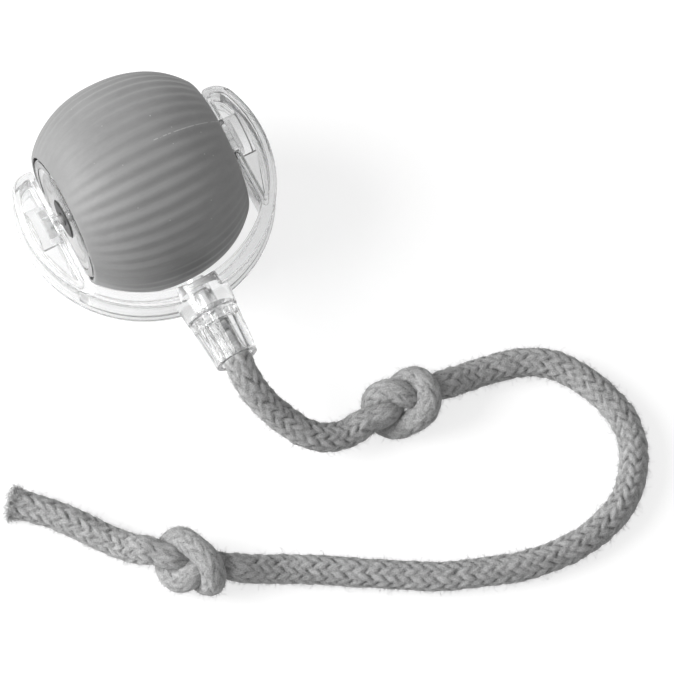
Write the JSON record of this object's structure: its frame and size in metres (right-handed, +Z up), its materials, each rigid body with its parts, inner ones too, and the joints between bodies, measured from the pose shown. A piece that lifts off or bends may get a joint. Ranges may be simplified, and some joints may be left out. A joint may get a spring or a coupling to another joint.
{
  "type": "self rolling cat ball",
  "caption": "Motor-driven ribbed silicone ball in a clear yoke, with a swivel stem trailing a knotted braided rope for a cat to chase.",
  "frame": {"origin": "on the floor straight under the middle of the ball, in the small flat where its lowest rib is pressed on the floor", "axes": "+X along the ball's axle, -Y along the yoke's stem towards the rope, +Z up"},
  "size_m": [0.1192, 0.126, 0.0428],
  "materials": {
    "clear_plastic": "clear gloss",
    "gray_silicone": "soft satin",
    "black_plastic": "satin",
    "white_plastic": "satin",
    "bright_steel": "bright",
    "silver_foil": "foil pouch",
    "gray_foam": "foam",
    "red_wire": "satin",
    "black_wire": "satin",
    "green_board": "solder mask",
    "gray_rope": "braided cotton"
  },
  "bodies": {
    "carrier": {"bracket": "clear_plastic", "axle_pin_left": "bright_steel", "axle_pin_right": "bright_steel", "bush_left": "black_plastic", "bush_right": "black_plastic", "end_plate_left": "clear_plastic", "end_plate_right": "clear_plastic", "bearing_ring_left": "white_plastic", "bearing_ring_right": "white_plastic", "plate_screw_left_front": "bright_steel", "plate_screw_left_back": "bright_steel", "plate_screw_right_front": "bright_steel", "plate_screw_right_back": "bright_steel", "chassis_frame": "white_plastic", "motor": "bright_steel", "gear_shaft": "bright_steel", "battery": "silver_foil", "battery_pad": "gray_foam", "battery_lead_red": "red_wire", "battery_lead_black": "black_wire", "motor_lead_red": "red_wire", "motor_lead_black": "black_wire", "circuit_board": "green_board", "board_screw_front": "bright_steel", "board_screw_back": "bright_steel", "charge_port": "bright_steel", "tact_switch": "black_plastic", "status_led": "white_plastic"},
    "ball": {"silicone_sleeve": "gray_silicone", "shell_left": "clear_plastic", "shell_right": "clear_plastic", "ring_gear": "white_plastic"},
    "reduction": {"reduction_gear": "white_plastic"},
    "pinion": {"motor_shaft": "bright_steel", "motor_pinion": "bright_steel"},
    "button": {"power_button": "gray_silicone"},
    "swivel": {"swivel_screw": "bright_steel", "swivel_washer": "black_plastic", "swivel_cap": "clear_plastic", "rope_lead": "gray_rope", "rope_knot_near": "gray_rope", "rope_middle": "gray_rope", "rope_knot_far": "gray_rope", "rope_tail": "gray_rope"}
  },
  "joints": [
    {"name": "ball_spin", "type": "hinge", "parent": "carrier", "child": "ball", "pos_m": [0, 0, 0.0213], "axis": [1, 0, 0], "continuous": true},
    {"name": "reduction_spin", "type": "hinge", "parent": "carrier", "child": "reduction", "pos_m": [0, 0, 0.0323], "axis": [1, 0, 0], "continuous": true},
    {"name": "pinion_spin", "type": "hinge", "parent": "carrier", "child": "pinion", "pos_m": [0, 0, 0.0248], "axis": [1, 0, 0], "continuous": true},
    {"name": "button_press", "type": "slide", "parent": "carrier", "child": "button", "axis": [-1, 0, 0], "range_m": [0, 0.0005], "stiffness_N_per_m": 400},
    {"name": "swivel_turn", "type": "hinge", "parent": "carrier", "child": "swivel", "pos_m": [0, -0.03148, 0.01855], "axis": [0, -0.9962, -0.0872], "continuous": true}
  ],
  "couplings": [
    {"joint": "reduction_spin", "follows": "ball_spin", "ratio": 4.1429},
    {"joint": "pinion_spin", "follows": "ball_spin", "ratio": -11.393}
  ]
}
